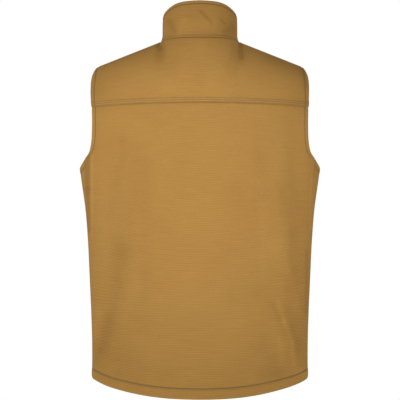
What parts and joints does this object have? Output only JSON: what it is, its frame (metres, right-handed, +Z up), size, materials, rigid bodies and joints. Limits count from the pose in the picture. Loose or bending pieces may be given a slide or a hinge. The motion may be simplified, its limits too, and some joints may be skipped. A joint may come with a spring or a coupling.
{
  "type": "utility work vest",
  "caption": "Sleeveless stand-collar canvas work vest in its worn form, with a lapped back yoke, turned armholes, a dropped back hem and a closed front zip.",
  "frame": {"origin": "on the shoulder line midway between the two neck points, where the shoulders of the wearer or a hanger carry it", "axes": "+X to the wearer's right, +Y to the wearer's front, +Z up"},
  "size_m": [0.4682, 0.2401, 0.7575],
  "materials": {
    "body_canvas": "tan cotton duck canvas, matt",
    "collar_canvas": "tan cotton duck canvas, matt",
    "zip": "brown moulded zip on woven tape"
  },
  "bodies": {
    "root": {"back_panel": "body_canvas", "back_yoke": "body_canvas", "front_left": "body_canvas", "front_right": "body_canvas", "stand_collar": "collar_canvas", "front_zip": "zip"}
  },
  "joints": []
}
